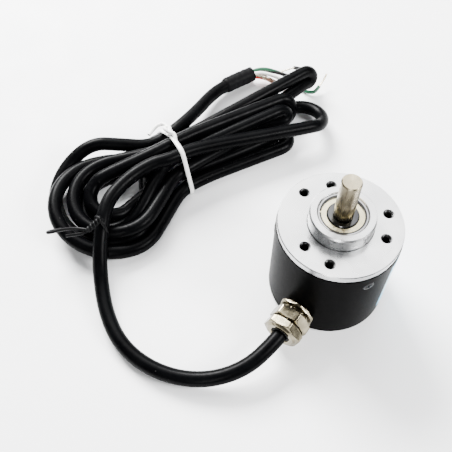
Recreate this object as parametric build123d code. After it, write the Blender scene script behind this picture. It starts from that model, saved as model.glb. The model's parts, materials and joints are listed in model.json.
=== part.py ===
"""Incremental rotary encoder, 38 mm flange class, with its cable tied in a hank.

Row frame: millimetres, +Z up along the shaft, origin at the centre of the
housing's rear face, which stands on the surface. The cable gland points along -Y.
"""
from build123d import *
import os
from math import atan2, cos, degrees, pi, radians, sin, sqrt, tan

os.makedirs("parts", exist_ok=True)

# ---------------------------------------------------------------- driving dimensions
HOUSING_R = 19.2
HOUSING_INNER_R = 18.0
HOUSING_FLOOR = 1.6
FLANGE_R = 19.0
RIM_LOW = 32.6          # where the aluminium rim meets the black housing
FACE_Z = 35.0           # mounting face
BOSS_R = 10.0
BOSS_TOP = 40.0
SPIGOT_R = 17.9
SPIGOT_LOW = 26.6
HUB_LOW_R = 9.3
HUB_LOW = 24.2

SHAFT_R = 3.0
SHAFT_LOW = 17.0
SHAFT_TIP = 55.0
SHAFT_RELIEF = (37.3, 40.1)   # ground relief between the bearing seat and the free end
RELIEF_R = 2.6

BEARING_R = 7.5
BEARING_W = 5.0
FRONT_BEARING_Z = 34.5
REAR_BEARING_Z = 25.5
SHOULDER_R = 6.6
SHOULDER_LOW = 31.0
BALL_R = 1.0
BALL_PITCH_R = 5.45
BALL_COUNT = 7
RACE_CLEARANCE = 0.05

TAP_R = 1.25            # M3 tapping bore
TAP_MOUTH_R = 1.72
TAP_DEPTH = 5.5
WIDE_PATTERN_R = 15.0
WIDE_PATTERN_START = 48.0
NARROW_PATTERN_R = 14.0
NARROW_PATTERN_START = 12.0

SIDE_SCREW_Z = 28.46
SIDE_SCREW_START = -32.1
M2_R = 0.95

DISC_R = 12.6
DISC_LOW = 19.5
DISC_TOP = 20.0
TRACK_R = 11.35
WINDOW_COUNT = 60

BOARD_R = 17.0
BOARD_LOW = 14.0
BOARD_TOP = 15.2
POST_PITCH_R = 15.6
POST_R = 1.6

GLAND_Z = 8.0
GLAND_MOUTH = 29.6      # distance of the gland's mouth from the shaft axis
GLAND_AF = 11.5

CABLE_R = 2.5
CABLE_ROUTE = [
    (0.0, -29.6, 8.0), (-0.8, -38.2, 7.3), (-4.5, -46.7, 5.6), (-11.2, -53.7, 3.9),
    (-20.4, -58.4, 2.8), (-31.0, -60.3, 2.5), (-41.5, -58.8, 2.5), (-51.4, -53.4, 2.6),
    (-60.0, -45.9, 3.8), (-66.2, -38.6, 7.8), (-70.6, -31.2, 12.0),
]

# hank frame: u runs along the hank, v across it, from the point under the tie
TIE_X = -66.0
TIE_Y = 6.0
HANK_TURN = 20.0        # degrees from +Y towards +X
TAIL_ROUTE = [
    (3.0, -15.2, 7.0), (12.5, -17.9, 6.6), (21.5, -21.6, 5.4), (30.0, -25.9, 4.2),
    (38.3, -28.2, 3.5), (46.3, -28.0, 3.35),
]
SLEEVE_R = 3.15
SLEEVE_FROM = 38.6
SLEEVE_TO = 52.3
WIRE_R = 0.65


# ---------------------------------------------------------------- small helpers
def rod(radius, low, high, x=0.0, y=0.0):
    """Upright cylinder between two heights."""
    return Pos(x, y, (low + high) / 2) * Cylinder(radius, high - low)


def ring(outer, inner, low, high):
    """Upright tube between two heights."""
    return rod(outer, low, high) - rod(inner, low - 1, high + 1)


def block(x0, x1, y0, y1, z0, z1):
    """Box given by its corners."""
    centre = Pos((x0 + x1) / 2, (y0 + y1) / 2, (z0 + z1) / 2)
    return centre * Box(x1 - x0, y1 - y0, z1 - z0)


def hexagon(across_flats, low, high, turn):
    """Upright hexagonal bar with its corners rounded off by a turned chamfer."""
    corner = across_flats / sqrt(3)
    bar = extrude(Rot(0, 0, turn) * RegularPolygon(corner, 6), high - low)
    blank = chamfer(rod(corner + 0.05, 0, high - low).edges().filter_by(GeomType.CIRCLE), 0.45)
    return Pos(0, 0, low) * (bar & blank)


def around(count, start, radius):
    """Points on a circle, as (x, y, angle)."""
    found = []
    for index in range(count):
        angle = start + 360.0 * index / count
        found.append((radius * cos(radians(angle)), radius * sin(radians(angle)), angle))
    return found


def join(shapes):
    """Fuses a list of shapes."""
    whole = shapes[0]
    for shape in shapes[1:]:
        whole = whole + shape
    return whole


def save(name, shape):
    """Writes one node."""
    if isinstance(shape, (list, tuple)):
        shape = Compound(children=list(shape))
    shape.label = name
    export_step(shape, "parts/" + name + ".step")


def tangent_radii(points):
    """One radius for each corner: 0.45 of the shorter run over tan(half the turn)."""
    radii = []
    for before, corner, after in zip(points, points[1:], points[2:]):
        run_in = Vector(corner) - Vector(before)
        run_out = Vector(after) - Vector(corner)
        half_turn = radians(run_in.get_angle(run_out)) / 2
        radii.append(0.45 * min(run_in.length, run_out.length) / tan(half_turn))
    return radii


def tube(name, points, radius):
    """Round tube of straight runs joined by tangent arcs; prints how it came out."""
    radii = tangent_radii(points)
    path = FilletPolyline(*points, radius=radii)
    start = Plane(origin=path @ 0, z_dir=path % 0)
    solid = sweep(start * Circle(radius), path=path)
    expected = pi * radius ** 2 * path.length
    print(name, "length", round(path.length, 1), "radii", [round(r, 1) for r in radii],
          "volume ratio", round(solid.volume / expected, 4))
    return solid


def in_hank(u, v, z):
    """Point of the hank frame in the row frame."""
    turn = radians(HANK_TURN)
    return (TIE_X + u * sin(turn) + v * cos(turn), TIE_Y + u * cos(turn) - v * sin(turn), z)


HANK = Pos(TIE_X, TIE_Y, 0) * Rot(0, 0, 90 - HANK_TURN)      # local +X is u, local +Y is -v
GLAND = Pos(0, 0, GLAND_Z) * Rot(90, 0, 0)                   # local +Z is -Y


def outward(angle, height):
    """Placement whose local +Z points radially out at this angle."""
    return Pos(0, 0, height) * Rot(0, 0, angle) * Rot(0, 90, 0)


# ---------------------------------------------------------------- case
def make_housing():
    """Black cup with a pad inside for the gland's thread."""
    cup = fillet(rod(HOUSING_R, 0, RIM_LOW).edges().sort_by(Axis.Z)[0], 0.6)
    cup = cup - rod(HOUSING_INNER_R, HOUSING_FLOOR, RIM_LOW + 1)
    pad = block(-5.6, 5.6, -18.6, -14.8, HOUSING_FLOOR - 0.2, 13.3) & rod(HOUSING_INNER_R + 0.3, 0, 20)
    cup = cup + pad
    cup = cup - GLAND * rod(4.05, 14, 21)
    for _, _, angle in around(3, SIDE_SCREW_START, 1):
        cup = cup - outward(angle, SIDE_SCREW_Z) * rod(1.95, 18.75, 21)
        cup = cup - outward(angle, SIDE_SCREW_Z) * rod(M2_R, 16, 21)
    return cup


def make_flange():
    """Turned aluminium flange: rim, pilot boss, spigot and bearing hub."""
    rim = chamfer(rod(FLANGE_R, RIM_LOW, FACE_Z).edges().sort_by(Axis.Z)[-1], 0.25)
    boss = chamfer(rod(BOSS_R, RIM_LOW, BOSS_TOP).edges().sort_by(Axis.Z)[-1], 0.45)
    spigot = rod(SPIGOT_R, SPIGOT_LOW, RIM_LOW) - ring(12.4, 10.8, SPIGOT_LOW - 1, SPIGOT_LOW + 1.6)
    hub = rod(HUB_LOW_R, HUB_LOW, RIM_LOW)
    flange = join([rim, boss, spigot, hub])
    flange = flange - rod(BEARING_R, FRONT_BEARING_Z, BOSS_TOP + 1)
    mouth = Pos(0, 0, BOSS_TOP - 0.15) * Cone(BEARING_R, BEARING_R + 0.3, 0.31)
    flange = flange - mouth
    flange = flange - rod(SHOULDER_R, HUB_LOW - 1, FRONT_BEARING_Z + 1)
    flange = flange - rod(BEARING_R, HUB_LOW - 1, SHOULDER_LOW)
    flange = flange - rod(7.95, 24.7, 25.5)
    holes = around(3, WIDE_PATTERN_START, WIDE_PATTERN_R)
    holes += around(3, NARROW_PATTERN_START, NARROW_PATTERN_R)
    for x, y, _ in holes:
        flange = flange - rod(TAP_R, FACE_Z - TAP_DEPTH, FACE_Z + 1, x, y)
        sink = TAP_MOUTH_R - TAP_R
        flange = flange - Pos(x, y, FACE_Z - sink / 2) * Cone(TAP_R, TAP_MOUTH_R, sink)
    for _, _, angle in around(3, SIDE_SCREW_START, 1):
        flange = flange - outward(angle, SIDE_SCREW_Z) * rod(M2_R, 14.0, 21)
    for x, y, _ in around(3, 0.0, POST_PITCH_R):
        flange = flange - rod(M2_R, SPIGOT_LOW - 1, SPIGOT_LOW + 2.2, x, y)
    return flange


def make_side_screws():
    """Three small cross-recess screws that hold the housing to the spigot."""
    screws = []
    for _, _, angle in around(3, SIDE_SCREW_START, 1):
        head = fillet(rod(1.8, 18.75, 19.4).edges().sort_by(Axis.Z)[-1], 0.2)
        recess = block(-1.1, 1.1, -0.22, 0.22, 19.0, 20) + block(-0.22, 0.22, -1.1, 1.1, 19.0, 20)
        screw = (head - recess) + rod(M2_R, 14.3, 18.75)
        screws.append(outward(angle, SIDE_SCREW_Z) * Rot(0, 0, 20) * screw)
    return screws


def make_label():
    """Blank sticker round the far side of the housing."""
    upright = (Align.NONE, Align.NONE, Align.MIN)
    sector = Pos(0, 0, 5.0) * Cylinder(HOUSING_R + 0.1, 25.0, arc_size=82, align=upright)
    return Rot(0, 0, -4) * (sector - rod(HOUSING_R, 0, 40))


# ---------------------------------------------------------------- bearings
def make_bearing(low):
    """Shielded ball bearing 6 x 15 x 5, as a dictionary of its pieces."""
    high = low + BEARING_W
    middle = (low + high) / 2
    groove = Pos(0, 0, middle) * Torus(BALL_PITCH_R, BALL_R + RACE_CLEARANCE)
    outer = rod(BEARING_R, low, high)
    outer = chamfer(outer.edges().filter_by(GeomType.CIRCLE), 0.15) - rod(6.2, low - 1, high + 1)
    outer = outer - rod(6.95, high - 0.8, high + 1) - rod(6.95, low - 1, low + 0.8) - groove
    inner = chamfer(rod(4.65, low, high).edges().filter_by(GeomType.CIRCLE), 0.18)
    inner = inner - rod(SHAFT_R, low - 1, high + 1) - groove
    shields = [ring(6.9, 4.85, high - 0.8, high - 0.55), ring(6.9, 4.85, low + 0.55, low + 0.8)]
    gap = block(6.0, 7.2, -0.5, 0.5, low - 1, high + 1)
    clips = []
    for bottom, turn in ((high - 0.55, 205), (low + 0.15, 25)):
        clips.append(ring(6.92, 6.42, bottom, bottom + 0.4) - Rot(0, 0, turn) * gap)
    balls = []
    cage = ring(5.85, 5.05, middle - 1.3, middle + 1.3)
    for x, y, angle in around(BALL_COUNT, 10.0, BALL_PITCH_R):
        balls.append(Pos(x, y, middle) * Sphere(BALL_R))
        cage = cage - outward(angle, middle) * rod(BALL_R + 0.06, 4.0, 7.0)
    return {"outer_ring": outer, "inner_ring": inner, "shields": shields,
            "shield_clips": clips, "balls": balls, "ball_cage": cage}


# ---------------------------------------------------------------- shaft and disc
def make_shaft():
    """Ground shaft with a groove for its circlip and a relief at the foot of its free end."""
    shaft = chamfer(rod(SHAFT_R, SHAFT_LOW, SHAFT_TIP).edges().filter_by(GeomType.CIRCLE), 0.35)
    shaft = shaft - ring(4.0, RELIEF_R, *SHAFT_RELIEF)
    return shaft - ring(4.0, RELIEF_R, 24.95, REAR_BEARING_Z)


def make_disc_hub():
    """Flanged hub that carries the code disc."""
    hub = rod(5.2, 21.5, 23.9) + rod(8.0, DISC_TOP, 21.5) + rod(4.2, 18.3, DISC_TOP)
    hub = hub - rod(SHAFT_R, 17, 25)
    return hub - outward(0, 22.7) * rod(M2_R, 2, 7)


def make_code_disc():
    """Thin disc with one ring of windows and one index window."""
    disc = ring(DISC_R, 4.2, DISC_LOW, DISC_TOP)
    windows = []
    for _, _, angle in around(WINDOW_COUNT, 0.0, TRACK_R):
        windows.append(Rot(0, 0, angle) * block(TRACK_R - 0.65, TRACK_R + 0.65, -0.28, 0.28, 19, 21))
    windows.append(Rot(0, 0, 90) * block(9.3, 10.1, -0.28, 0.28, 19, 21))
    return disc - windows


# ---------------------------------------------------------------- optics and board
def make_led_holder():
    """Moulded block under the flange that holds the emitter over the track."""
    holder = block(-3.4, 3.4, 9.0, 14.4, 21.0, 24.0) + block(-3.4, 3.4, 9.6, 14.4, 24.0, SPIGOT_LOW)
    return holder - rod(1.45, 20, 25.9, 0, TRACK_R)


def make_led():
    """Domed emitter pointing down at the track."""
    return rod(1.45, 22.0, 25.9, 0, TRACK_R) + Pos(0, TRACK_R, 22.0) * Sphere(1.45)


def make_mask_holder():
    """Frame on the board that carries the mask over the detector."""
    return block(-4, 4, 8.4, 14.3, BOARD_TOP, 18.3) - block(-2.6, 2.6, 9.3, 13.4, 15, 19)


def make_mask():
    """Thin plate with four slits under the track."""
    plate = block(-3.6, 3.6, 8.8, 13.9, 18.3, 18.8)
    slits = []
    for x in (-1.5, -0.5, 0.5, 1.5):
        slits.append(block(x - 0.14, x + 0.14, TRACK_R - 0.65, TRACK_R + 0.65, 18, 19))
    return plate - slits


def make_board():
    """Round circuit board."""
    board = rod(BOARD_R, BOARD_LOW, BOARD_TOP)
    for x, y, _ in around(3, 0.0, POST_PITCH_R):
        board = board - rod(M2_R, BOARD_LOW - 1, BOARD_TOP + 1, x, y)
    return board


def make_posts():
    """Three posts between the flange and the board."""
    posts = []
    for x, y, _ in around(3, 0.0, POST_PITCH_R):
        post = rod(POST_R, BOARD_TOP, SPIGOT_LOW, x, y) + rod(M2_R, SPIGOT_LOW, SPIGOT_LOW + 2.0, x, y)
        posts.append(post - rod(M2_R, BOARD_TOP - 1, BOARD_TOP + 3.2, x, y))
    return posts


def make_board_screws():
    """Three screws under the board."""
    screws = []
    for x, y, _ in around(3, 0.0, POST_PITCH_R):
        head = rod(1.6, 12.8, BOARD_LOW, x, y) - block(x - 1.2, x + 1.2, y - 0.2, y + 0.2, 12, 13.3)
        screws.append(head + rod(M2_R, BOARD_LOW, BOARD_TOP + 3.0, x, y))
    return screws


def make_connector():
    """Header under the board that takes the cable's inner leads."""
    header = block(-5, 5, -9.5, -5.5, 10.4, BOARD_LOW)
    return header - block(-4.4, 4.4, -9.6, -8.6, 11.0, 13.4)


def make_chips():
    """Chips and capacitors under the board."""
    chips = []
    for x in (-6.5, 6.5):
        chips.append(block(x - 2.5, x + 2.5, 1.5, 5.5, 12.5, BOARD_LOW))
    for x, y in ((-2, 2), (2, 2), (-2, 6), (2, 6), (-9, -4), (9, -4)):
        chips.append(block(x - 0.8, x + 0.8, y - 0.5, y + 0.5, 13.1, BOARD_LOW))
    return chips


def make_inner_leads():
    """Five thin leads from the cable's stripped end to the header."""
    leads = []
    for index in range(5):
        near = (index - 2) * 0.9
        far = (index - 2) * 1.7
        lift = 0.25 * (index % 2)
        points = [(near, -12.2, 8.0 + lift), (near, -11.1, 8.0 + lift), (far, -10.3, 12.2), (far, -8.7, 12.2)]
        path = FilletPolyline(*points, radius=0.6)
        start = Plane(origin=path @ 0, z_dir=path % 0)
        leads.append(sweep(start * Circle(0.4), path=path))
    return leads


# ---------------------------------------------------------------- gland, built along local +Z
def make_gland_locknut():
    """Thin hexagon nut against the housing."""
    return GLAND * (hexagon(GLAND_AF - 0.2, 19.4, 20.5, 25) - rod(4.0, 19, 21))


def make_gland_body():
    """Threaded stem, hexagon and front thread, bored through."""
    body = rod(4.0, 14.9, 22.0) + hexagon(GLAND_AF, 22.0, 25.6, 7) + rod(4.6, 25.6, 28.2)
    return GLAND * (body - rod(CABLE_R + 0.1, 14, 25) - rod(3.6, 24.5, 29))


def make_gland_cap():
    """Hexagon cap nut with a coned front."""
    cap = hexagon(GLAND_AF, 26.2, 29.0, 12)
    cap = cap + Pos(0, 0, 29.3) * Cone(5.3, 4.7, 0.6)
    return GLAND * (cap - rod(4.6, 26, 28.4) - rod(3.15, 26, 30))


def make_gland_seal():
    """Rubber grommet squeezed round the cable."""
    return GLAND * (ring(3.6, CABLE_R, 24.5, 28.2) + ring(3.1, CABLE_R, 28.2, 29.3))


# ---------------------------------------------------------------- cable
def waist(margin):
    """Section of the tied bundle, a rounded rectangle grown by a margin, in the v-z plane."""
    across = 26.0 + 2 * margin
    tall = 13.0 + 2 * margin
    section = Plane.YZ * (Pos(5.0, 7.4) * RectangleRounded(across, tall, 5.0 + margin))
    return section


def make_hank():
    """Outer shape of the coiled cable: wide lobe, tied waist and long lobe."""
    wide = extrude(Pos(-27.0, 3.5) * Ellipse(24.2, 22.6), 12.5)
    wide = chamfer(wide.edges().group_by(Axis.Z)[-1], 2.0)
    corners = [(2.0, 17.5), (30.0, 17.5), (50.0, 16.0), (68.0, 15.0), (72.0, 12.0), (72.0, 7.0),
               (63.5, -5.0), (59.0, -10.0), (46.0, -13.5), (38.0, -13.5), (20.0, -9.5), (2.0, -7.5)]
    long_lobe = extrude(Polygon(*corners, align=None), 12.0, dir=(0, 0, 1))
    long_lobe = chamfer(long_lobe.edges().group_by(Axis.Z)[-1], 2.0)
    middle = Pos(-6.0, 0, 0) * extrude(waist(0), 12.0)
    waisted = wide + long_lobe - block(-3.0, 3.0, -40, 40, -1, 20)
    return HANK * (waisted + middle)


def make_bundle_tie():
    """White band round the waist, with its twisted knot on top and a loose end."""
    core = Pos(-6, 0, 0) * extrude(waist(0), 12.0)
    band = Pos(-0.9, 0, 0) * extrude(waist(0.9) - waist(0), 1.8)
    knot = block(-0.8, 3.2, 6.0, 17.4, 12.0, 15.8)
    tail = block(-5.5, 2.5, 16.0, 17.8, 12.2, 13.6)
    return HANK * (band + (knot - core) + (tail - core))


def make_twist_tie():
    """Black twist tie where the cable joins the hank: loops round the cable and a loose end."""
    low = Vector(*CABLE_ROUTE[-2])
    along = Vector(*CABLE_ROUTE[-1]) - low
    place = Plane(origin=low + along * 0.6, z_dir=along)
    turns = [place * ring(CABLE_R + 0.8, CABLE_R, -1.6, 1.6)]
    for height in (-1.2, 0.0, 1.2):
        turns.append(place * Pos(0, 0, height) * Torus(CABLE_R + 0.8, 0.6))
    points = [in_hank(*point) for point in TIE_END]
    path = FilletPolyline(*points, radius=tangent_radii(points))
    start = Plane(origin=path @ 0, z_dir=path % 0)
    return join(turns) + sweep(start * Circle(0.7), path=path)


TIE_END = [(-38.0, 10.6, 13.6), (-43.0, 9.2, 14.4), (-48.0, 6.2, 13.6), (-53.2, 2.2, 11.0)]
WIRES = {
    "wire_black": [(52.3, -29.2, 3.3), (58.5, -27.2, 3.9), (64.5, -22.8, 3.2), (70.4, -19.4, 2.6)],
    "wire_green": [(52.3, -28.3, 4.7), (58.0, -25.4, 4.6), (63.4, -20.6, 2.9), (67.3, -14.2, 1.8),
                   (70.4, -9.4, 1.6), (74.8, -7.8, 3.0)],
    "wire_white": [(52.3, -26.9, 4.6), (57.0, -23.4, 4.2), (60.8, -19.2, 2.9), (63.2, -15.0, 1.7)],
    "wire_red": [(52.3, -26.3, 3.0), (55.8, -23.2, 2.4), (58.8, -19.2, 1.7), (60.8, -15.0, 1.0)],
    "shield_wire": [(52.3, -27.8, 1.8), (54.6, -24.6, 1.1), (56.6, -20.8, 0.9), (58.0, -16.8, 0.9)],
}


def make_all():
    """Every node by name."""
    nodes = {
        "housing": make_housing(),
        "front_flange": make_flange(),
        "side_screws": make_side_screws(),
        "label": make_label(),
        "shaft": make_shaft(),
        "bearing_spacer": ring(3.9, SHAFT_R, REAR_BEARING_Z + BEARING_W, FRONT_BEARING_Z),
        "preload_washer": ring(7.4, 6.7, REAR_BEARING_Z + BEARING_W, SHOULDER_LOW),
        "bore_circlip": ring(7.9, 6.7, 24.75, 25.45) - block(5, 9, -1.6, 1.6, 24, 26),
        "shaft_circlip": ring(4.5, 2.62, 25.0, 25.48) - block(0, 9, -1.9, 1.9, 24, 26),
        "disc_hub": make_disc_hub(),
        "hub_set_screw": outward(0, 22.7) * rod(M2_R, SHAFT_R, 5.0),
        "code_disc": make_code_disc(),
        "disc_clamp": ring(7.0, 4.2, 18.3, DISC_LOW),
        "led_holder": make_led_holder(),
        "led_emitter": make_led(),
        "photodetector": block(-2.5, 2.5, 9.35, 13.35, BOARD_TOP, 16.6),
        "mask_holder": make_mask_holder(),
        "track_mask": make_mask(),
        "circuit_board": make_board(),
        "board_posts": make_posts(),
        "board_screws": make_board_screws(),
        "board_connector": make_connector(),
        "board_chips": make_chips(),
        "inner_leads": make_inner_leads(),
        "gland_locknut": make_gland_locknut(),
        "gland_body": make_gland_body(),
        "gland_cap_nut": make_gland_cap(),
        "gland_seal": make_gland_seal(),
        "cable_entry": GLAND * rod(CABLE_R, 12.2, GLAND_MOUTH),
        "cable_ferrule": GLAND * ring(3.4, CABLE_R, 12.9, 14.7),
    }
    for place, low in (("front", FRONT_BEARING_Z), ("rear", REAR_BEARING_Z)):
        for piece, shape in make_bearing(low).items():
            nodes[place + "_" + piece] = shape
    nodes["cable_lead"] = tube("cable_lead", CABLE_ROUTE, CABLE_R)
    nodes["cable_hank"] = make_hank()
    tail = [in_hank(*point) for point in TAIL_ROUTE]
    nodes["cable_tail"] = tube("cable_tail", tail, CABLE_R)
    sleeve_start = Plane(origin=in_hank(SLEEVE_FROM, -28.2, 3.45), z_dir=Vector(*tail[-1]) - Vector(*tail[-2]))
    sleeve_length = SLEEVE_TO - SLEEVE_FROM
    nodes["heat_shrink"] = extrude(sleeve_start * (Circle(SLEEVE_R) - Circle(CABLE_R)), sleeve_length)
    nodes["bundle_tie"] = make_bundle_tie()
    nodes["lead_twist_tie"] = make_twist_tie()
    for name, points in WIRES.items():
        nodes[name] = tube(name, [in_hank(*point) for point in points], WIRE_R)
    return nodes


NODES = make_all()
for node_name, node_shape in NODES.items():
    save(node_name, node_shape)
print(len(NODES), "nodes written")
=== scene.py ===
"""Looks of the rotary encoder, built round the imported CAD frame. Metres, row frame."""
import json
import math

import bmesh
import bpy
import numpy as np
from mathutils import Matrix, Vector, geometry


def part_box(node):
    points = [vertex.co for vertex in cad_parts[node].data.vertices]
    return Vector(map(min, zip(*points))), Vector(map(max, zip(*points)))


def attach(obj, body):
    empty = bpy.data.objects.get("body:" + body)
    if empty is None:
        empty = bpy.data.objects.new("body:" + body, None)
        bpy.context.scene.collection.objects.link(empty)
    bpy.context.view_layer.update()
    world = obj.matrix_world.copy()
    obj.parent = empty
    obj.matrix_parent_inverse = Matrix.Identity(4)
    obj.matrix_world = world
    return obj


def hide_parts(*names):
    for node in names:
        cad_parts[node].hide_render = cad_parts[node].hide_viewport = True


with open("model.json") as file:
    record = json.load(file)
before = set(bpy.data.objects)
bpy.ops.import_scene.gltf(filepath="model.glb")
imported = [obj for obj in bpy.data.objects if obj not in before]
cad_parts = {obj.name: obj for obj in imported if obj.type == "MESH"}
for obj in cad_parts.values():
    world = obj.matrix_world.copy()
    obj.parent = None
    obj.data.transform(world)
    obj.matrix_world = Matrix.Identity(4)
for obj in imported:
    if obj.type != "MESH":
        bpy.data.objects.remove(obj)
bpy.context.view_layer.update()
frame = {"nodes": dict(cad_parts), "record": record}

MM = 0.001

# ---------------------------------------------------------------- driving values
CAMERA_AT = (0.03391, -0.10950, 0.19712)
CAMERA_FORWARD = (-0.3129, 0.4553, -0.8335)
CAMERA_RIGHT = (0.8147, 0.5798, 0.0109)
CAMERA_LENS = 52.508

CABLE_R = 2.5 * MM
WIDE_START, NARROW_START = 48.0, 12.0   # first tapped holes of the 15 and 14 mm circles, degrees
SIDE_SCREWS_AT, SIDE_SCREWS_Z = (-32.1, 87.9, 207.9), 28.46    # round the housing, degrees; height, mm
TIE_AT = (-66.0, 6.0)            # point under the tie, mm
HANK_TURN = math.radians(20)     # hank's length from +Y towards +X

# the lead from the gland to the hank, mm
LEAD = [
    (0.0, -29.6, 8.0), (-0.8, -38.2, 7.3), (-4.5, -46.7, 5.6), (-11.2, -53.7, 3.9),
    (-20.4, -58.4, 2.8), (-31.0, -60.3, 2.5), (-41.5, -58.8, 2.5), (-51.4, -53.4, 2.6),
    (-60.0, -45.9, 3.8), (-66.2, -38.6, 7.8), (-70.6, -31.2, 12.0),
]
# hank frame (u along, v across, z up), mm: where the lead joins, and the stripped tail
LEAD_IN = [(-31.5, 3.2, 12.4), (-25.5, 0.2, 12.2), (-18.0, -1.8, 11.8), (-10.0, -2.0, 11.5)]
TAIL = [
    (3.0, -15.2, 7.0), (12.5, -17.9, 6.6), (21.5, -21.6, 5.4), (30.0, -25.9, 4.2),
    (38.3, -28.2, 3.5), (46.3, -28.0, 3.35),
]
# where each pass goes through the tie (v, z), in the order that the cable takes
LOW, MIDDLE, TOP = 2.5, 6.9, 11.2
PASSES = [
    (-0.5, TOP), (-11.5, LOW), (5.0, LOW), (-0.5, LOW), (-6.0, TOP), (2.2, MIDDLE),
    (-8.8, MIDDLE), (-6.0, LOW), (-3.3, MIDDLE), (-17.0, LOW), (-14.3, MIDDLE),
]
# folds between passes, mm: reach, radius, middle v, heights in, midway and out, side entered,
# tilt in degrees, and how far the limbs out and back bow across the hank
FOLDS = [
    (61, 8.0, 5.0, 8.0, 4.5, 2.5, 1, 0, 0, 0),
    (49, 19.0, -2.0, 4.5, 7.5, 2.5, -1, 0, 0, 0),
    (44, 4.5, 6.0, 2.5, 2.5, 2.5, 1, 0, 0, 0),
    (36, 7.5, -1.0, 3.0, 7.0, 11.0, 1, 0, 0, 0),
    (52, 3.6, -2.5, 9.0, 6.0, 2.5, -1, 75, 0, 0),
    (42, 15.0, -1.0, 8.0, 8.0, 8.0, 1, 0, 0, 0),
    (69, 3.2, -9.5, 8.5, 5.5, 2.5, -1, 80, 0, 3.5),
    (39, 11.5, -1.0, 2.5, 2.5, 2.5, -1, 0, 0, 0),
    (47, 4.2, 2.0, 7.5, 5.0, 2.5, -1, 65, 0, 0),
    (47, 20.5, -4.5, 2.5, 2.5, 11.0, 1, 0, 0, 0),
]
FOLD_POINTS = 8
FOLD_SWEEP = 204                 # how far round a fold its own points go, degrees
SETTLE_ROUNDS = 300
SETTLE_HOLD = 0.97               # share of its sideways shift that a turn keeps each round
SETTLE_SMOOTH = 0.10             # share of a shift passed on to the neighbours

SLEEVE_FROM, SLEEVE_TO = 38.6, 52.3
TIE_LEAN = 0.134                 # how far the tie's plane leans along the hank per mm across


def hank_place(u, v, z):
    """Row frame point of a hank frame point, metres."""
    x = TIE_AT[0] + u * math.sin(HANK_TURN) + v * math.cos(HANK_TURN)
    y = TIE_AT[1] + u * math.cos(HANK_TURN) - v * math.sin(HANK_TURN)
    return Vector((x, y, z)) * MM


# ---------------------------------------------------------------- camera, light, floor
def make_camera():
    """Camera above and in front, looking down at the encoder's face."""
    data = bpy.data.cameras.new("camera")
    data.lens = CAMERA_LENS
    data.sensor_width = 36.0
    data.clip_start = 0.005
    camera = bpy.data.objects.new("camera", data)
    forward = Vector(CAMERA_FORWARD).normalized()
    right = Vector(CAMERA_RIGHT)
    right = (right - forward * right.dot(forward)).normalized()
    turn = Matrix((right, right.cross(forward), -forward)).transposed()
    camera.matrix_world = Matrix.Translation(CAMERA_AT) @ turn.to_4x4()
    bpy.context.scene.collection.objects.link(camera)
    bpy.context.scene.camera = camera


def make_light(name, place, target, size, power):
    """One soft rectangular light."""
    data = bpy.data.lights.new(name, "AREA")
    data.shape = "RECTANGLE"
    data.size, data.size_y = size
    data.energy = power
    light = bpy.data.objects.new(name, data)
    light.location = place
    light.rotation_euler = (Vector(target) - Vector(place)).to_track_quat("-Z", "Y").to_euler()
    bpy.context.scene.collection.objects.link(light)


def make_studio():
    """Pale world, three soft boxes and a narrow strip in front."""
    world = bpy.data.worlds.new("studio")
    world.use_nodes = True
    world.node_tree.nodes["Background"].inputs["Color"].default_value = (0.96, 0.98, 1.0, 1)
    world.node_tree.nodes["Background"].inputs["Strength"].default_value = 0.26
    bpy.context.scene.world = world
    middle = (-0.03, 0.0, 0.01)
    make_light("key_box", (-0.62, 0.28, 0.50), middle, (0.42, 0.34), 44.0)
    make_light("back_card", (-0.26, 0.38, 0.70), middle, (0.80, 0.70), 11.0)
    make_light("side_box", (0.60, 0.16, 0.50), middle, (0.26, 0.30), 14.0)
    make_light("front_strip", (0.20, -0.50, 0.36), middle, (0.05, 0.36), 2.0)


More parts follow.
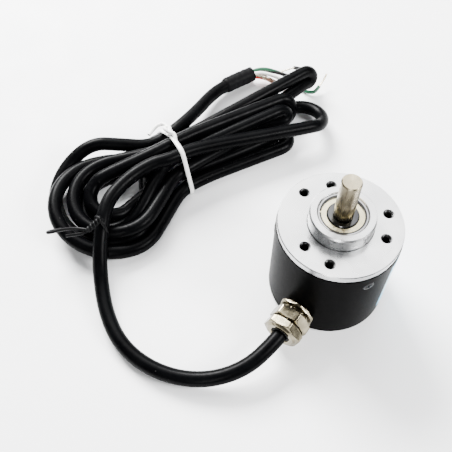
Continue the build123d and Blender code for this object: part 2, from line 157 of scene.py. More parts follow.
# ---------------------------------------------------------------- materials
def surface(name, dark, light, gloss, metal=0.0, grain=400.0, relief=0.05, stretch=(1, 1, 1),
            coat=0.0, brushed=0.0, specks=0.0, shine=0.5):
    """Material whose colour, gloss and relief vary a little over the piece."""
    material = bpy.data.materials.new(name)
    material.use_nodes = True
    nodes = material.node_tree.nodes
    link = material.node_tree.links.new
    shader = nodes["Principled BSDF"]
    shader.inputs["Metallic"].default_value = metal
    shader.inputs["Specular IOR Level"].default_value = shine
    shader.inputs["IOR"].default_value = 1.3 if shine < 0.2 else 1.5
    shader.inputs["Coat Weight"].default_value = coat
    shader.inputs["Coat Roughness"].default_value = 0.12
    place = nodes.new("ShaderNodeTexCoord")
    spread = nodes.new("ShaderNodeMapping")
    spread.inputs["Scale"].default_value = stretch
    link(place.outputs["Object"], spread.inputs["Vector"])
    fine = nodes.new("ShaderNodeTexNoise")
    fine.inputs["Scale"].default_value = grain
    fine.inputs["Detail"].default_value = 6.0
    link(spread.outputs["Vector"], fine.inputs["Vector"])
    broad = nodes.new("ShaderNodeTexNoise")
    broad.inputs["Scale"].default_value = grain * 0.17
    broad.inputs["Detail"].default_value = 3.0
    link(place.outputs["Object"], broad.inputs["Vector"])
    ramp = nodes.new("ShaderNodeValToRGB")
    ramp.color_ramp.elements[0].position = 0.32
    ramp.color_ramp.elements[0].color = (*dark, 1)
    ramp.color_ramp.elements[1].position = 0.68
    ramp.color_ramp.elements[1].color = (*light, 1)
    link(broad.outputs["Fac"], ramp.inputs["Fac"])
    colour = ramp.outputs["Color"]
    if specks:
        dust = nodes.new("ShaderNodeTexVoronoi")
        dust.inputs["Scale"].default_value = 330.0
        link(place.outputs["Object"], dust.inputs["Vector"])
        near = nodes.new("ShaderNodeMapRange")
        near.inputs["From Min"].default_value = 0.035
        near.inputs["From Max"].default_value = 0.055
        near.inputs["To Min"].default_value = specks
        near.inputs["To Max"].default_value = 0.0
        link(dust.outputs["Distance"], near.inputs["Value"])
        mix = nodes.new("ShaderNodeMix")
        mix.data_type = "RGBA"
        mix.inputs[7].default_value = (0.55, 0.54, 0.52, 1)
        link(near.outputs["Result"], mix.inputs[0])
        link(colour, mix.inputs[6])
        colour = mix.outputs[2]
    link(colour, shader.inputs["Base Color"])
    rough = nodes.new("ShaderNodeMapRange")
    rough.inputs["From Min"].default_value = 0.35
    rough.inputs["From Max"].default_value = 0.65
    rough.inputs["To Min"].default_value = gloss[0]
    rough.inputs["To Max"].default_value = gloss[1]
    link(fine.outputs["Fac"], rough.inputs["Value"])
    link(rough.outputs["Result"], shader.inputs["Roughness"])
    bump = nodes.new("ShaderNodeBump")
    bump.inputs["Strength"].default_value = relief
    bump.inputs["Distance"].default_value = 0.0001
    link(fine.outputs["Fac"], bump.inputs["Height"])
    link(bump.outputs["Normal"], shader.inputs["Normal"])
    if brushed:
        shader.inputs["Anisotropic"].default_value = brushed
        turned = nodes.new("ShaderNodeTangent")
        turned.direction_type = "RADIAL"
        turned.axis = "Z"
        link(turned.outputs["Tangent"], shader.inputs["Tangent"])
    return material


def banded(name, colours, low, high, gloss):
    """Printed sticker: bands of colour up its height, with no lettering."""
    material = surface(name, colours[0], colours[0], gloss, grain=900.0, relief=0.02)
    nodes = material.node_tree.nodes
    link = material.node_tree.links.new
    place = nodes.new("ShaderNodeTexCoord")
    split = nodes.new("ShaderNodeSeparateXYZ")
    link(place.outputs["Object"], split.inputs["Vector"])
    height = nodes.new("ShaderNodeMapRange")
    height.inputs["From Min"].default_value = low
    height.inputs["From Max"].default_value = high
    link(split.outputs["Z"], height.inputs["Value"])
    ramp = nodes.new("ShaderNodeValToRGB")
    ramp.color_ramp.interpolation = "CONSTANT"
    ramp.color_ramp.elements[0].position = 0.0
    ramp.color_ramp.elements[0].color = (*colours[0], 1)
    ramp.color_ramp.elements[1].position = 0.34
    ramp.color_ramp.elements[1].color = (*colours[1], 1)
    top = ramp.color_ramp.elements.new(0.86)
    top.color = (*colours[2], 1)
    link(height.outputs["Result"], ramp.inputs["Fac"])
    link(ramp.outputs["Color"], nodes["Principled BSDF"].inputs["Base Color"])
    return material


def make_materials():
    """One material for each of the record's slots."""
    label_low, label_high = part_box("label")
    pale = (0.52, 0.76, 0.90)
    return {
        "black_housing": surface("black_housing", (0.0004, 0.0004, 0.0005), (0.0012, 0.0012, 0.0013),
                                 (0.30, 0.40), grain=2600.0, relief=0.10, specks=0.03, shine=0.02),
        "machined_aluminium": surface("machined_aluminium", (0.48, 0.485, 0.49), (0.68, 0.68, 0.68),
                                      (0.20, 0.32), 1.0, 240.0, 0.02, brushed=0.4),
        "ground_steel": surface("ground_steel", (0.17, 0.14, 0.09), (0.33, 0.29, 0.20),
                                (0.20, 0.32), 1.0, 900.0, 0.05, (1, 1, 0.08), brushed=0.5),
        "bearing_steel": surface("bearing_steel", (0.20, 0.20, 0.205), (0.34, 0.34, 0.34),
                                 (0.10, 0.2), 1.0, 700.0, 0.02, brushed=0.4),
        "shield_steel": surface("shield_steel", (0.42, 0.38, 0.24), (0.58, 0.53, 0.37),
                                (0.22, 0.34), 1.0, 700.0, 0.04, brushed=0.4),
        "spring_steel": surface("spring_steel", (0.012, 0.012, 0.012), (0.04, 0.04, 0.04),
                                (0.25, 0.4), 1.0, 800.0, 0.05),
        "black_screw_steel": surface("black_screw_steel", (0.003, 0.003, 0.0032), (0.012, 0.012, 0.012),
                                     (0.24, 0.4), 0.3, 1200.0, 0.06, shine=0.1),
        "label_vinyl": banded("label_vinyl", ((0.25, 0.62, 0.86), pale, (0.25, 0.62, 0.86)),
                              label_low.z, label_high.z, (0.35, 0.45)),
        "nickel_plate": surface("nickel_plate", (0.09, 0.075, 0.045), (0.28, 0.25, 0.175),
                                (0.14, 0.28), 1.0, 420.0, 0.12),
        "black_rubber": surface("black_rubber", (0.002, 0.002, 0.002), (0.004, 0.004, 0.004),
                                (0.55, 0.7), grain=1500.0, relief=0.2, shine=0.2),
        "cable_jacket": surface("cable_jacket", (0.0005, 0.0005, 0.0007), (0.0012, 0.0013, 0.0015),
                                (0.26, 0.36), grain=900.0, relief=0.10, specks=0.05, shine=0.06),
        "sleeve_plastic": surface("sleeve_plastic", (0.002, 0.002, 0.0022), (0.004, 0.004, 0.0045),
                                  (0.36, 0.5), grain=700.0, relief=0.3, shine=0.06),
        "white_plastic": surface("white_plastic", (0.80, 0.80, 0.77), (0.90, 0.90, 0.88),
                                 (0.3, 0.42), grain=600.0, relief=0.1, coat=0.2),
        "black_plastic": surface("black_plastic", (0.0015, 0.0015, 0.0017), (0.003, 0.003, 0.0032),
                                 (0.28, 0.42), grain=1200.0, relief=0.12, shine=0.15),
        "led_resin": surface("led_resin", (0.72, 0.80, 0.88), (0.84, 0.9, 0.95),
                             (0.05, 0.12), grain=500.0, relief=0.01),
        "board_laminate": surface("board_laminate", (0.008, 0.14, 0.05), (0.02, 0.24, 0.09),
                                  (0.25, 0.4), grain=900.0, relief=0.1),
        "connector_plastic": surface("connector_plastic", (0.80, 0.78, 0.70), (0.87, 0.86, 0.80),
                                     (0.35, 0.5), grain=900.0, relief=0.08),
        "red_insulation": surface("red_insulation", (0.42, 0.012, 0.008), (0.6, 0.03, 0.02),
                                  (0.3, 0.42), grain=900.0, relief=0.06),
        "white_insulation": surface("white_insulation", (0.80, 0.79, 0.75), (0.9, 0.9, 0.88),
                                    (0.3, 0.42), grain=900.0, relief=0.06),
        "green_insulation": surface("green_insulation", (0.002, 0.040, 0.016), (0.005, 0.085, 0.036),
                                    (0.3, 0.42), grain=900.0, relief=0.06),
        "black_insulation": surface("black_insulation", (0.0015, 0.0015, 0.0015), (0.003, 0.003, 0.003),
                                    (0.3, 0.42), grain=900.0, relief=0.06, shine=0.25),
        "shield_copper": surface("shield_copper", (0.22, 0.19, 0.13), (0.52, 0.46, 0.34),
                                 (0.22, 0.36), 1.0, 1800.0, 0.1),
    }


# ---------------------------------------------------------------- piece helpers
def finish_piece(piece, slot, replaced=()):
    """Material of the slot, body, and hides the CAD nodes that the piece stands for."""
    piece.data.materials.append(MATERIALS[slot])
    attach(piece, "case")
    if replaced:
        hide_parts(*replaced)
    return piece


def mesh_piece(name, points, faces):
    """Smooth mesh object."""
    mesh = bpy.data.meshes.new(name)
    mesh.from_pydata([tuple(p) for p in points], [], faces)
    shape = bmesh.new()
    shape.from_mesh(mesh)
    bmesh.ops.recalc_face_normals(shape, faces=shape.faces)
    shape.to_mesh(mesh)
    shape.free()
    mesh.shade_smooth()
    piece = bpy.data.objects.new(name, mesh)
    bpy.context.scene.collection.objects.link(piece)
    return piece


def grid_faces(rows, columns, closed=False):
    """Faces of a grid of points whose columns run round in a ring."""
    faces = []
    for row in range(rows if closed else rows - 1):
        for column in range(columns):
            across = (column + 1) % columns
            below = (row + 1) % rows
            faces.append((row * columns + column, row * columns + across,
                          below * columns + across, below * columns + column))
    return faces


def curve_piece(name, routes, radius, cyclic=False, steps=6):
    """Round wires on smooth NURBS splines, one for each route."""
    curve = bpy.data.curves.new(name, "CURVE")
    curve.dimensions = "3D"
    curve.bevel_depth = radius
    curve.bevel_resolution = 5
    curve.resolution_u = steps
    curve.use_fill_caps = True
    for route in routes:
        spline = curve.splines.new("NURBS")
        spline.points.add(len(route) - 1)
        for point, place in zip(spline.points, route):
            point.co = (*place, 1.0)
        spline.order_u = 3
        spline.use_endpoint_u = not cyclic
        spline.use_cyclic_u = cyclic
    piece = bpy.data.objects.new(name, curve)
    bpy.context.scene.collection.objects.link(piece)
    return piece


def smooth_line(route, steps=8):
    """Points along the smooth spline that a route controls."""
    piece = curve_piece("measured_line", [route], 0.0, steps=steps)
    piece.data.use_fill_caps = False
    mesh = bpy.data.meshes.new_from_object(piece)
    line = [v.co.copy() for v in mesh.vertices]
    bpy.data.meshes.remove(mesh)
    bpy.data.objects.remove(piece)
    return line


def sweep(name, line, section, sides):
    """Open tube along a line. section(share, angle) gives its radius."""
    points = []
    side = None
    count = len(line)
    for index, place in enumerate(line):
        ahead = line[min(index + 1, count - 1)] - line[max(index - 1, 0)]
        ahead.normalize()
        side = ahead.orthogonal() if side is None else side - ahead * side.dot(ahead)
        side.normalize()
        other = ahead.cross(side)
        for column in range(sides):
            angle = 2 * math.pi * column / sides
            reach = section(index / (count - 1), angle)
            points.append(place + (side * math.cos(angle) + other * math.sin(angle)) * reach)
    return mesh_piece(name, points, grid_faces(count, sides))


# ---------------------------------------------------------------- cable
def fold_points(side, reach, radius, middle, low, half, high, entered, tilt):
    """Points round one fold of the hank, in its own frame."""
    points = []
    for index in range(FOLD_POINTS):
        share = index / (FOLD_POINTS - 1)
        angle = math.radians(FOLD_SWEEP / 2 - FOLD_SWEEP * share)
        u = side * (reach - radius + radius * math.cos(angle))
        v = middle + entered * radius * math.sin(angle) * math.cos(math.radians(tilt))
        if tilt:
            z = (low + high) / 2 + (low - high) / 2 * math.sin(angle)
        else:
            z = low * (1 - share) * (1 - 2 * share) + 4 * half * share * (1 - share)
            z += high * share * (2 * share - 1)
        points.append((u, v, z))
    return points


def halfway(first, second, bow):
    """Point midway between two, moved across the hank."""
    u, v, z = ((a + b) / 2 for a, b in zip(first, second))
    return (u, v + bow, z)


def hank_points():
    """Every turn of the hank, pass by pass and fold by fold, in its own frame."""
    points = list(LEAD_IN)
    for index, (v, z) in enumerate(PASSES):
        side = 1 if index % 2 == 0 else -1
        points.append((-5 * side, v, z))
        if index == len(FOLDS):
            break
        points.append((5 * side, v, z))
        *fold_sizes, bow_out, bow_back = FOLDS[index]
        fold = fold_points(side, *fold_sizes)
        following = PASSES[index + 1]
        points.append(halfway(points[-1], fold[0], bow_out))
        points += fold
        points.append(halfway(fold[-1], (5 * side, *following), bow_back))
    return points


def line_weights(count):
    """What each control point gives to close stations along its smooth spline."""
    rows = []
    for middle in range(1, count - 1):
        for share in (0.0, 0.33, 0.67):
            row = np.zeros(count)
            row[middle - 1] = (1 - share) ** 2 / 2
            row[middle] = 0.5 + share * (1 - share)
            row[middle + 1] = share ** 2 / 2
            rows.append(row)
    return np.array(rows)


def settle(points, free):
    """Lets the turns push each other apart and sink on to the floor, as loose cable does."""
    start = points.copy()
    weights = line_weights(len(points))
    share = weights.sum(0)[:, None] + 1e-9
    line = weights @ points
    run = np.concatenate([[0.0], np.cumsum(np.linalg.norm(np.diff(line, axis=0), axis=1))])
    apart = np.abs(run[:, None] - run[None, :]) > 5.2 * CABLE_R
    touching = 2.06 * CABLE_R
    for turn in range(SETTLE_ROUNDS):
        line = weights @ points
        gap = line[:, None] - line[None]
        reach = np.sqrt((gap ** 2).sum(2)) + 1e-9
        close = apart & (reach < touching)
        force = (np.where(close, (touching - reach) / reach, 0)[:, :, None] * gap).sum(1)
        force /= np.sqrt(np.maximum(close.sum(1), 1))[:, None]
        force[:, 2] -= 0.05 * MM * (1 - turn / SETTLE_ROUNDS)
        force[:, 2] += np.maximum(CABLE_R - line[:, 2], 0)
        moved = points + (weights.T @ force) / share - start
        moved[:, :2] *= SETTLE_HOLD
        moved[1:-1] += SETTLE_SMOOTH * (moved[:-2] - 2 * moved[1:-1] + moved[2:])
        points = np.where(free[:, None], start + moved, points)
    points[:, 2] = np.maximum(points[:, 2], CABLE_R)
    return points


def ease_ends(points):
    """Adds a point just past each fold's end, so the long limb leaves the fold without a kink."""
    eased = [points[0]]
    for index in range(1, len(points)):
        before, here = points[index - 1], points[index]
        side = np.linalg.norm(here - before)
        last = np.linalg.norm(before - points[index - 2]) if index > 1 else side
        following = np.linalg.norm(points[index + 1] - here) if index + 1 < len(points) else side
        if side > 3 * last:
            eased.append(before + (here - before) * 1.3 * last / side)
        if side > 3 * following:
            eased.append(here + (before - here) * 1.3 * following / side)
        eased.append(here)
    return np.array(eased)


def cable_points():
    """Control points of the whole cable: lead, hank and tail."""
    lead = [Vector(p) * MM for p in LEAD]
    hank = [hank_place(*p) for p in hank_points()]
    tail = [hank_place(*p) for p in TAIL]
    points = np.array([tuple(p) for p in lead + hank + tail])
    free = np.ones(len(points), bool)
    free[:len(lead)] = False
    free[-len(tail):] = False
    return ease_ends(settle(points, free))


def make_cable(route):
    """The black jacketed cable, one smooth curve."""
    cable = curve_piece("cable", [route], CABLE_R, steps=8)
    cable.data.bevel_resolution = 7
    return finish_piece(cable, "cable_jacket", ("cable_lead", "cable_hank", "cable_tail"))


def make_sleeve():
    """Shrunk sleeve over the cable's end, open at its mouth."""
    sides = 40
    middle = hank_place((SLEEVE_FROM + SLEEVE_TO) / 2, -28.1, 3.4)
    route = [hank_place(SLEEVE_FROM, -28.0, 3.5), middle, hank_place(SLEEVE_TO, -27.75, 3.3)]
    line = smooth_line(route, 16)
    inner = [p.copy() for p in reversed(line[-8:])]

    def wall(share, angle):
        grip = 2.58 + 0.5 * min(1.0, share * 14) - 0.10 * math.exp(-((share - 1) * 9) ** 2)
        wave = 0.05 * math.sin(share * 31 + 2 * angle) + 0.03 * math.sin(share * 57 - angle)
        return (grip + wave) * MM

    outer_piece = sweep("heat_shrink_sleeve", line, wall, sides)
    lining = sweep("heat_shrink_lining", inner, lambda share, angle: (2.5 - 0.3 * share) * MM, sides)
    rim = solid_rim(outer_piece, lining, sides)
    bpy.data.objects.remove(lining)
    return finish_piece(rim, "sleeve_plastic", ("heat_shrink",))


def solid_rim(outer_piece, lining, sides):
    """Joins a sleeve's lining to its mouth and closes its far end."""
    outer = [v.co.copy() for v in outer_piece.data.vertices]
    inside = [v.co.copy() for v in lining.data.vertices]
    rows = len(outer) // sides
    faces = grid_faces(rows, sides)
    base = len(outer)
    last = (rows - 1) * sides
    first_ring = inside[:sides]
    start = min(range(sides), key=lambda i: (first_ring[i] - outer[last]).length)
    step_point = first_ring[(start + 1) % sides]
    forward = (step_point - outer[last + 1]).length < (first_ring[start - 1] - outer[last + 1]).length
    order = [(start + (i if forward else -i)) % sides for i in range(sides)]
    inner_rows = len(inside) // sides
    points = outer + [inside[row * sides + i] for row in range(inner_rows) for i in order]
    for row in range(-1, inner_rows - 1):
        here = last if row < 0 else base + row * sides
        there = base + (row + 1) * sides
        for i in range(sides):
            j = (i + 1) % sides
            faces.append((here + i, here + j, there + j, there + i))
    faces.append(tuple(range(sides)))
    faces.append(tuple(base + (inner_rows - 1) * sides + i for i in range(sides)))
    name = outer_piece.name
    bpy.data.objects.remove(outer_piece)
    return mesh_piece(name, points, faces)


def in_hank(route):
    """Row frame points of a route in the hank frame."""
    return [hank_place(*p) for p in route]


def strands(route, count, spread, radius, twist):
    """Fine strands laid round a route."""
    line = smooth_line(in_hank(route), 5)
    routes = []
    for index in range(count):
        laid = []
        for step, place in enumerate(line):
            angle = 2 * math.pi * index / count + twist * step
            flare = spread * (1 + 0.9 * step / len(line) * (index % 3) / 2)
            laid.append(place + Vector((math.cos(angle), math.sin(angle), 0.6 * math.sin(angle + 1)))
                        * flare * MM)
        routes.append(laid)
    for laid in routes:
        for place in laid:
            place.z = max(place.z, radius * MM)
    return routes


def make_wires():
    """Insulated wires out of the sleeve, two with tinned tips, and the loose shield."""
    black = [(50.8, -28.9, 3.3), (54.5, -28.0, 3.9), (58.9, -24.8, 4.0), (64.0, -19.0, 3.2),
             (68.6, -14.8, 1.6), (71.6, -14.6, 1.3), (72.3, -17.0, 2.6), (70.2, -18.7, 4.2),
             (67.9, -19.5, 5.0)]
    black_tip = [(68.1, -19.45, 5.0), (66.5, -20.2, 4.6), (64.8, -21.0, 4.1), (63.3, -21.8, 3.4)]
    green = [(50.8, -28.1, 4.6), (54.5, -27.3, 5.1), (58.4, -25.4, 4.8), (63.4, -20.6, 2.9),
             (66.2, -14.2, 1.4), (65.8, -9.6, 0.9), (67.8, -6.6, 1.2), (70.0, -6.4, 1.8),
             (71.6, -7.0, 2.6)]
    green_tip = [(71.5, -6.9, 2.6), (73.4, -7.4, 3.4), (75.2, -8.2, 4.3), (76.6, -8.9, 5.0)]
    white = [(50.8, -27.0, 4.3), (54.0, -25.9, 4.7), (57.4, -23.2, 4.2), (60.8, -19.2, 2.9),
             (63.2, -15.0, 1.2)]
    red = [(50.8, -26.8, 3.1), (53.8, -25.3, 2.9), (56.6, -22.6, 2.2), (59.0, -19.2, 1.3),
           (60.8, -15.6, 0.9)]
    shield = [(50.8, -27.4, 3.9), (53.6, -25.4, 4.3), (56.4, -22.0, 3.4), (58.6, -18.4, 1.4)]
    pieces = []
    wire_r = 0.72 * MM
    for name, route, slot, node in (
        ("black_wire", black, "black_insulation", "wire_black"),
        ("green_wire", green, "green_insulation", "wire_green"),
        ("white_wire", white, "white_insulation", "wire_white"),
        ("red_wire", red, "red_insulation", "wire_red"),
    ):
        wire = curve_piece(name, [in_hank(route)], wire_r)
        pieces.append(finish_piece(wire, slot, (node,)))
    for name, route in (("black_wire_tip", black_tip), ("green_wire_tip", green_tip)):
        tip = curve_piece(name, strands(route, 5, 0.20, 0.17, 0.45), 0.17 * MM, steps=3)
        pieces.append(finish_piece(tip, "shield_copper"))
    loose = strands(shield, 9, 0.55, 0.12, 0.12)
    braid = curve_piece("shield_strands", loose, 0.12 * MM, steps=3)
    pieces.append(finish_piece(braid, "shield_copper", ("shield_wire",)))
    return pieces


# ---------------------------------------------------------------- ties
def tie_outline(route):
    """Outline of the cables under the tie, grown by the tie's thickness, as (v, z) in mm."""
    weights = line_weights(len(route))
    line = weights @ np.array([tuple(p) for p in route])
    spots = []
    for place in line / MM:
        along = place[0] - TIE_AT[0], place[1] - TIE_AT[1]
        u = along[0] * math.sin(HANK_TURN) + along[1] * math.cos(HANK_TURN)
        v = along[0] * math.cos(HANK_TURN) - along[1] * math.sin(HANK_TURN)
        if abs(u - (0.15 - TIE_LEAN * v)) < 2.0 and -25 < v < 20:
            for step in range(24):
                angle = 2 * math.pi * step / 24
                reach = CABLE_R / MM + 0.35
                spots.append(Vector((v + reach * math.cos(angle), place[2] + reach * math.sin(angle))))
    order = geometry.convex_hull_2d(spots)
    return [spots[i] for i in order]


def make_bundle_tie(route):
    """Flat white tie round the hank, with its knot and loose end."""
    outline = tie_outline(route)
    points = []
    count = len(outline)
    section = [(-0.85, 0.0), (-0.75, 0.34), (-0.3, 0.48), (0.3, 0.48), (0.75, 0.34),
               (0.85, 0.0), (0.7, -0.25), (-0.7, -0.25)]
    for index, spot in enumerate(outline):
        run = outline[(index + 1) % count] - outline[index - 1]
        normal = Vector((run.y, -run.x)).normalized()
        for along, out in section:
            v = spot.x + normal.x * out
            z = max(spot.y + normal.y * out, 0.15 + 0.1 * (out + 0.25))
            points.append(hank_place(0.15 - TIE_LEAN * v + along, v, z))
    faces = grid_faces(count, len(section), closed=True)
    band = mesh_piece("bundle_tie_band", points, faces)
    finish_piece(band, "white_plastic", ("bundle_tie",))
    crown = max(outline, key=lambda spot: spot.y - 0.35 * abs(spot.x + 9))
    across, top = crown
    knot = [(0.9, across + 2.6, top + 0.2), (2.4, across + 0.6, top + 1.0), (0.7, across - 1.4, top + 1.5),
            (2.6, across - 3.4, top + 1.0), (1.0, across - 5.0, top + 0.5), (0.2, across - 3.0, top + 1.5),
            (1.9, across - 1.0, top + 0.5), (2.4, across - 4.6, top - 0.2), (2.1, across - 7.4, top - 0.4),
            (0.2, across - 8.3, top - 0.8), (-2.4, across - 7.9, top - 1.6), (-4.6, across - 6.9, top - 2.0)]
    knot_piece = curve_piece("bundle_tie_knot", [in_hank(knot)], 0.72 * MM, steps=8)
    finish_piece(knot_piece, "white_plastic")
    return [band, knot_piece]


def helix(start, end, radius, turns, phase):
    """Points of a helix between two places, mm."""
    start, end = Vector(start), Vector(end)
    axis = (end - start).normalized()
    side = axis.cross(Vector((0, 0, 1))).normalized()
    other = axis.cross(side)
    count = int(turns * 12)
    points = []
    for index in range(count + 1):
        angle = phase + 2 * math.pi * turns * index / count
        centre = start.lerp(end, index / count)
        points.append(centre + (side * math.cos(angle) + other * math.sin(angle)) * radius)
    return points


def make_lead_tie():
    """Black twist tie that holds the lead to the hank: ring, twist and two loose ends."""
    ring = []
    for step in range(14):
        angle = 2 * math.pi * step / 14
        across, up = 3.3 * math.cos(angle), 5.6 * math.sin(angle)
        ring.append(hank_place(-37.6 + 0.12 * across, 9.2 + across, 9.9 + up))
    loop = curve_piece("lead_tie_loop", [ring], 0.55 * MM, cyclic=True, steps=8)
    finish_piece(loop, "black_plastic", ("lead_twist_tie",))
    twists = []
    for phase in (0.0, math.pi):
        turns = helix((-43.2, 11.2, 15.2), (-37.0, 9.6, 15.6), 0.62, 2.5, phase)
        twists.append(in_hank(turns))
    twist = curve_piece("lead_tie_twist", twists, 0.5 * MM, steps=6)
    finish_piece(twist, "black_plastic")
    first = [(-42.8, 11.3, 15.4), (-44.5, 9.6, 15.6), (-47.0, 7.0, 14.6), (-50.0, 4.4, 13.0),
             (-53.2, 2.2, 11.2), (-54.0, 0.9, 10.4), (-52.2, 1.6, 10.9), (-49.4, 4.0, 12.4)]
    second = [(-42.8, 11.0, 15.0), (-44.4, 11.2, 14.8), (-46.6, 9.6, 13.9), (-49.4, 7.3, 12.5)]
    ends = curve_piece("lead_tie_ends", [in_hank(first), in_hank(second)], 0.55 * MM, steps=8)
    finish_piece(ends, "black_plastic")
    return [loop, twist, ends]


# ---------------------------------------------------------------- cable gland
def gland_place(along, angle, reach):
    """Point round the gland's axis: distance from the shaft axis, angle and radius, mm."""
    return Vector((reach * math.cos(angle), -along, 8.0 + reach * math.sin(angle))) * MM


def hex_reach(across, angle, turn):
    """Radius of a hexagon's outline at an angle."""
    step = math.radians(60)
    within = (angle - math.radians(turn)) % step - step / 2
    return across / 2 / math.cos(within)


def revolve_gland(name, rows, slot, replaced=()):
    """Piece round the gland's axis; rows are (distance, radius at angle) from one end to the other."""
    sides = 144
    points = []
    for along, reach in rows:
        for column in range(sides):
            angle = 2 * math.pi * column / sides
            points.append(gland_place(along, angle, reach(angle)))
    piece = mesh_piece(name, points, grid_faces(len(rows), sides, closed=True))
    mark_edges(piece, 28)
    return finish_piece(piece, slot, replaced)


def mark_edges(piece, degrees):
    """Keeps edges sharper than an angle crisp."""
    shape = bmesh.new()
    shape.from_mesh(piece.data)
    for edge in shape.edges:
        if len(edge.link_faces) == 2 and edge.calc_face_angle(0.0) > math.radians(degrees):
            edge.smooth = False
    shape.to_mesh(piece.data)
    shape.free()


def fixed(reach):
    """A round section."""
    return lambda angle: reach


def nut_rows(across, low, high, turn, bore, cone=0.62):
    """Rows of a chamfered hexagon nut with a round bore."""
    rows = [(low, fixed(bore)), (low, fixed(across / 2 - 0.15))]
    for depth in (0.0, 0.12, 0.24, 0.36, 0.5):
        rows.append((low + depth, bevelled(across, turn, depth, cone)))
    for depth in (0.5, 0.36, 0.24, 0.12, 0.0):
        rows.append((high - depth, bevelled(across, turn, depth, cone)))
    rows.append((high, fixed(across / 2 - 0.15)))
    rows.append((high, fixed(bore)))
    return rows


def bevelled(across, turn, depth, cone):
    """Hexagon section cut back by the chamfer's cone at a depth from the face."""
    limit = across / 2 - 0.02 + depth / cone
    return lambda angle: min(hex_reach(across, angle, turn), limit)


def threaded(angle_shift, core, depth, pitch):
    """Sections of a thread: radius by distance along and angle."""
    def reach(along, angle):
        phase = (along / pitch + angle / (2 * math.pi) + angle_shift) % 1.0
        return core + depth * (1 - abs(2 * phase - 1))
    return reach


def make_gland():
    """Locknut, threaded body with its hexagon, cap nut and rubber."""
    body_across = 11.5
    revolve_gland("gland_thin_nut", nut_rows(body_across - 0.2, 19.35, 20.5, 25, 3.9, 0.9),
                  "nickel_plate", ("gland_locknut",))
    thread = threaded(0.0, 4.05, 0.42, 0.75)
    rows = [(19.2, fixed(2.7))]
    for step in range(33):
        along = 19.2 + 2.9 * step / 32
        rows.append((along, lambda angle, s=along: thread(s, angle)))
    body_rows = nut_rows(body_across, 22.0, 25.6, 7, 4.0)
    rows += body_rows[1:-1]
    front = threaded(0.3, 4.35, 0.3, 0.75)
    for step in range(13):
        along = 25.62 + 1.1 * step / 12
        rows.append((along, lambda angle, s=along: front(s, angle)))
    rows.append((26.9, fixed(2.7)))
    revolve_gland("gland_stem", rows, "nickel_plate", ("gland_body",))
    cap = nut_rows(body_across, 26.2, 29.0, 12, 4.66)[:-2]
    cap += [(29.0, fixed(5.35)), (29.12, fixed(5.2)), (29.45, fixed(4.85)), (29.6, fixed(4.6)),
            (29.6, fixed(3.5)), (29.45, fixed(3.25)), (29.0, fixed(3.15)), (28.3, fixed(3.15)),
            (28.2, fixed(4.66))]
    revolve_gland("gland_cap", cap, "nickel_plate", ("gland_cap_nut",))
    lips = [(25.0, fixed(2.62)), (25.0, fixed(3.4)), (28.1, fixed(3.4)), (28.3, fixed(3.05)),
            (29.0, fixed(3.08)), (29.35, fixed(3.0)), (29.5, fixed(2.8)), (29.42, fixed(2.62))]
    revolve_gland("gland_rubber", lips, "black_rubber", ("gland_seal",))


# ---------------------------------------------------------------- screws and hole threads
def make_side_screws():
    """Three small pan heads with cross recesses, let into the housing."""
    sides, rings = 72, 26
    head_r = 1.8
    points, faces = [], []
    for turn, degrees in enumerate(SIDE_SCREWS_AT):
        out = Vector((math.cos(math.radians(degrees)), math.sin(math.radians(degrees)), 0))
        across = Vector((-out.y, out.x, 0))
        base = len(points)
        for row in range(rings):
            reach = head_r * (1 - row / rings)
            for column in range(sides):
                angle = 2 * math.pi * column / sides
                a, b = reach * math.cos(angle), reach * math.sin(angle)
                tilt = math.radians(20 + 31 * turn)
                p = abs(a * math.cos(tilt) + b * math.sin(tilt))
                q = abs(b * math.cos(tilt) - a * math.sin(tilt))
                long, short = max(p, q), min(p, q)
                dome = 19.4 - 0.16 * (reach / head_r) ** 2 - (0.35 if row == 0 else 0)
                slot = min(max((0.24 - short) / 0.06, 0), 1) * min(max((1.1 - long) / 0.2, 0), 1)
                height = Vector((0, 0, SIDE_SCREWS_Z + b))
                points.append((out * (dome - 0.45 * slot) + across * a + height) * MM)
        faces += [tuple(base + i for i in face) for face in grid_faces(rings, sides)]
        faces.append(tuple(base + (rings - 1) * sides + i for i in range(sides)))
    piece = mesh_piece("cover_screws", points, faces)
    finish_piece(piece, "black_screw_steel", ("side_screws",))


def hole_spots():
    """Centres of the six tapped holes, found from the two patterns of the record."""
    spots = []
    for pitch, start in ((15.0, WIDE_START), (14.0, NARROW_START)):
        for index in range(3):
            angle = math.radians(start + 120 * index)
            spots.append((pitch * math.cos(angle), pitch * math.sin(angle)))
    return spots


def turned_piece(name, centres, rows, slot, sides=48):
    """Rings round upright axes; rows are (height, radius at angle) round the section, mm."""
    points, faces = [], []
    for x, y in centres:
        base = len(points)
        for height, reach in rows:
            for column in range(sides):
                angle = 2 * math.pi * column / sides
                out = reach(angle)
                points.append(Vector((x + out * math.cos(angle), y + out * math.sin(angle), height)) * MM)
        faces += [tuple(base + i for i in face) for face in grid_faces(len(rows), sides, closed=True)]
    return finish_piece(mesh_piece(name, points, faces), slot)


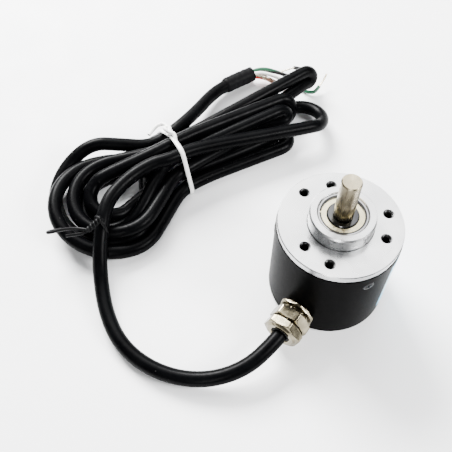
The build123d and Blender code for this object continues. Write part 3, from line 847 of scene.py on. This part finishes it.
def make_hole_threads():
    """Threaded walls and floors inside the six tapped holes, in dark steel as painted shade in the holes."""
    outer, crest, pitch, centre = 1.245, 1.08, 0.5, 0.02
    top, low, floor = 34.45, 29.6, 0.2
    steps = 60
    rows = [(top, fixed(outer)), (low, fixed(outer)), (low, fixed(centre)), (low + floor, fixed(centre))]
    thread = threaded(0.0, crest, outer - crest - 0.02, pitch)
    for step in range(steps + 1):
        height = low + floor + (top - low - floor) * step / steps
        rows.append((height, lambda angle, s=height: thread(s, angle)))
    # These threads are cut in the aluminium flange; their dark spring_steel colour is painted shade inside
    # the holes.
    turned_piece("hole_threads", hole_spots(), rows, "spring_steel")


def make_turned_edges():
    """Chamfers of the tapped holes and a ring at the boss's foot, coloured near black as painted shade along
    these edges.
    """
    mouth = [(34.40, 1.235), (34.52, 1.235), (34.97, 1.685), (34.985, 1.66), (34.56, 1.20), (34.40, 1.17)]
    foot = [(34.97, 9.98), (34.97, 10.20), (35.02, 10.20), (35.10, 10.03), (35.14, 9.98)]
    mouth_rows = [(height, fixed(out)) for height, out in mouth]
    foot_rows = [(height, fixed(out)) for height, out in foot]
    rings = [turned_piece("hole_mouths", hole_spots(), mouth_rows, "bearing_steel"),
             turned_piece("boss_foot", [(0, 0)], foot_rows, "bearing_steel", 160)]
    # Near-black steel: painted shade on the aluminium chamfers, and a dark ring standing in for the shadow
    # at the boss's foot.
    edge_shade = surface("edge_painted_shade", (0.025, 0.025, 0.026), (0.07, 0.07, 0.07), (0.25, 0.4), 1.0, 700.0, 0.05)
    for ring in rings:
        ring.data.materials[0] = edge_shade


# ---------------------------------------------------------------- floor
def make_floor():
    """Pale paper under the object."""
    half = 1.6
    points = [(x * half, y * half, -0.0002) for x, y in ((-1, -1), (1, -1), (1, 1), (-1, 1))]
    floor = mesh_piece("paper", points, [(0, 1, 2, 3)])
    paper = surface("paper", (0.90, 0.903, 0.91), (0.94, 0.942, 0.95), (0.6, 0.75), grain=60.0, relief=0.05)
    floor.data.materials.append(paper)


# ---------------------------------------------------------------- making
MATERIALS = make_materials()
make_camera()
make_studio()
cable_route = [Vector(p) for p in cable_points()]
cable = make_cable(cable_route)
carried = [make_sleeve()]
carried += make_wires()
carried += make_bundle_tie(cable_route)
carried += make_lead_tie()

# Inner rings get a steel much darker than the other bearing steel: painted shade for the shadow inside the
# bearing's mouth.
shaded_inner_race = surface("inner_race_painted_shade", (0.030, 0.030, 0.032), (0.075, 0.075, 0.075),
                     (0.12, 0.22), 1.0, 700.0, 0.02, brushed=0.4)
for part in frame["record"]["subparts"]:
    node = frame["nodes"][part["node"]]
    node.data.materials.clear()
    node.data.materials.append(MATERIALS[part["material_slot"]])
for name in ("front_inner_ring", "rear_inner_ring"):
    frame["nodes"][name].data.materials[0] = shaded_inner_race

make_gland()
make_side_screws()
make_hole_threads()
make_turned_edges()
make_floor()
